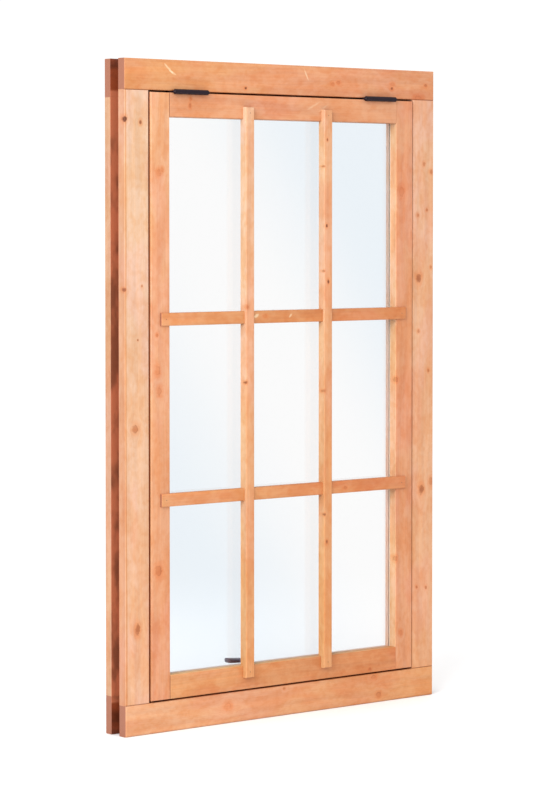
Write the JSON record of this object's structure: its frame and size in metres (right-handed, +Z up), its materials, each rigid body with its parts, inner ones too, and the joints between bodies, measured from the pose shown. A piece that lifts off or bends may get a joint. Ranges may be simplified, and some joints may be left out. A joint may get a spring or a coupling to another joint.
{
  "type": "top-hung casement window",
  "caption": "Top-hung timber window with planted glazing bars, casings front and back that grip the wall, barrel hinges and a peg stay.",
  "frame": {"origin": "middle of the sill's underside, at the bottom of the wall channel, centred across the window and between the casings", "axes": "+X to the right seen from outdoors, +Y from outdoors to indoors, +Z up"},
  "size_m": [0.8, 0.088, 1.304],
  "materials": {
    "casing_front_level": "clear-lacquered pine, orange cast",
    "casing_front_upright": "clear-lacquered pine, pale peach",
    "casing_back": "clear-lacquered pine",
    "frame_timber": "unfinished pine in shade",
    "sash_stile": "clear-lacquered pine",
    "sash_rail": "clear-lacquered pine, salmon cast",
    "bar_vertical": "clear-lacquered pine",
    "bar_horizontal": "clear-lacquered pine, orange cast",
    "bead_timber": "clear-lacquered pine",
    "dowel": "beech dowel",
    "glass": "clear float glass",
    "tape": "black foam tape",
    "setting_block": "hard plastic packer",
    "hinge_iron": "black satin enamel",
    "stay_iron": "dark grey satin enamel",
    "screw_steel": "zinc-plated",
    "black_screw": "black satin enamel"
  },
  "bodies": {
    "frame": {"frame_sill": "frame_timber", "frame_head": "frame_timber", "frame_jamb_left": "frame_timber", "frame_jamb_right": "frame_timber", "frame_corner_screws": "screw_steel", "front_casing_top": "casing_front_level", "front_casing_bottom": "casing_front_level", "front_casing_left": "casing_front_upright", "front_casing_right": "casing_front_upright", "front_casing_nails": "screw_steel", "back_casing_top": "casing_back", "back_casing_bottom": "casing_back", "back_casing_left": "casing_back", "back_casing_right": "casing_back", "back_casing_nails": "screw_steel", "hinge_leaf_frame_left": "hinge_iron", "hinge_leaf_frame_right": "hinge_iron", "hinge_pin_left": "hinge_iron", "hinge_pin_right": "hinge_iron", "hinge_frame_screws": "black_screw", "stay_peg_plate": "stay_iron", "stay_pegs": "stay_iron", "stay_peg_plate_screws": "black_screw"},
    "sash": {"sash_stile_left": "sash_stile", "sash_stile_right": "sash_stile", "sash_top_rail": "sash_rail", "sash_bottom_rail": "sash_rail", "glazing_bar_vertical_left": "bar_vertical", "glazing_bar_vertical_right": "bar_vertical", "glazing_bar_horizontal_upper": "bar_horizontal", "glazing_bar_horizontal_lower": "bar_horizontal", "glazing_bead_top": "bead_timber", "glazing_bead_bottom": "bead_timber", "glazing_bead_left": "bead_timber", "glazing_bead_right": "bead_timber", "sash_corner_pegs": "dowel", "glass_pane": "glass", "glazing_tape": "tape", "glass_setting_blocks": "setting_block", "hinge_leaf_sash_left": "hinge_iron", "hinge_leaf_sash_right": "hinge_iron", "hinge_sash_screws": "black_screw", "stay_bracket_screws": "black_screw", "stay_bracket": "stay_iron", "stay_upright_pin": "stay_iron", "glazing_bead_pins": "screw_steel", "glazing_bar_pins": "screw_steel"},
    "swivel": {"stay_swivel": "stay_iron", "stay_lift_pin": "stay_iron"},
    "arm": {"stay_arm": "stay_iron", "stay_handle": "stay_iron"}
  },
  "joints": [
    {"name": "sash_hinge", "type": "hinge", "parent": "frame", "child": "sash", "pos_m": [0, -0.0405, 1.21025], "axis": [-1, 0, 0], "range_deg": [0, 90]},
    {"name": "stay_swing", "type": "hinge", "parent": "sash", "child": "swivel", "pos_m": [0.13, 0.0225, 0.055], "axis": [0, 0, -1], "range_deg": [0, 90]},
    {"name": "stay_lift", "type": "hinge", "parent": "swivel", "child": "arm", "pos_m": [0.118, 0.0225, 0.056], "axis": [0, 1, 0], "range_deg": [0, 60]}
  ]
}
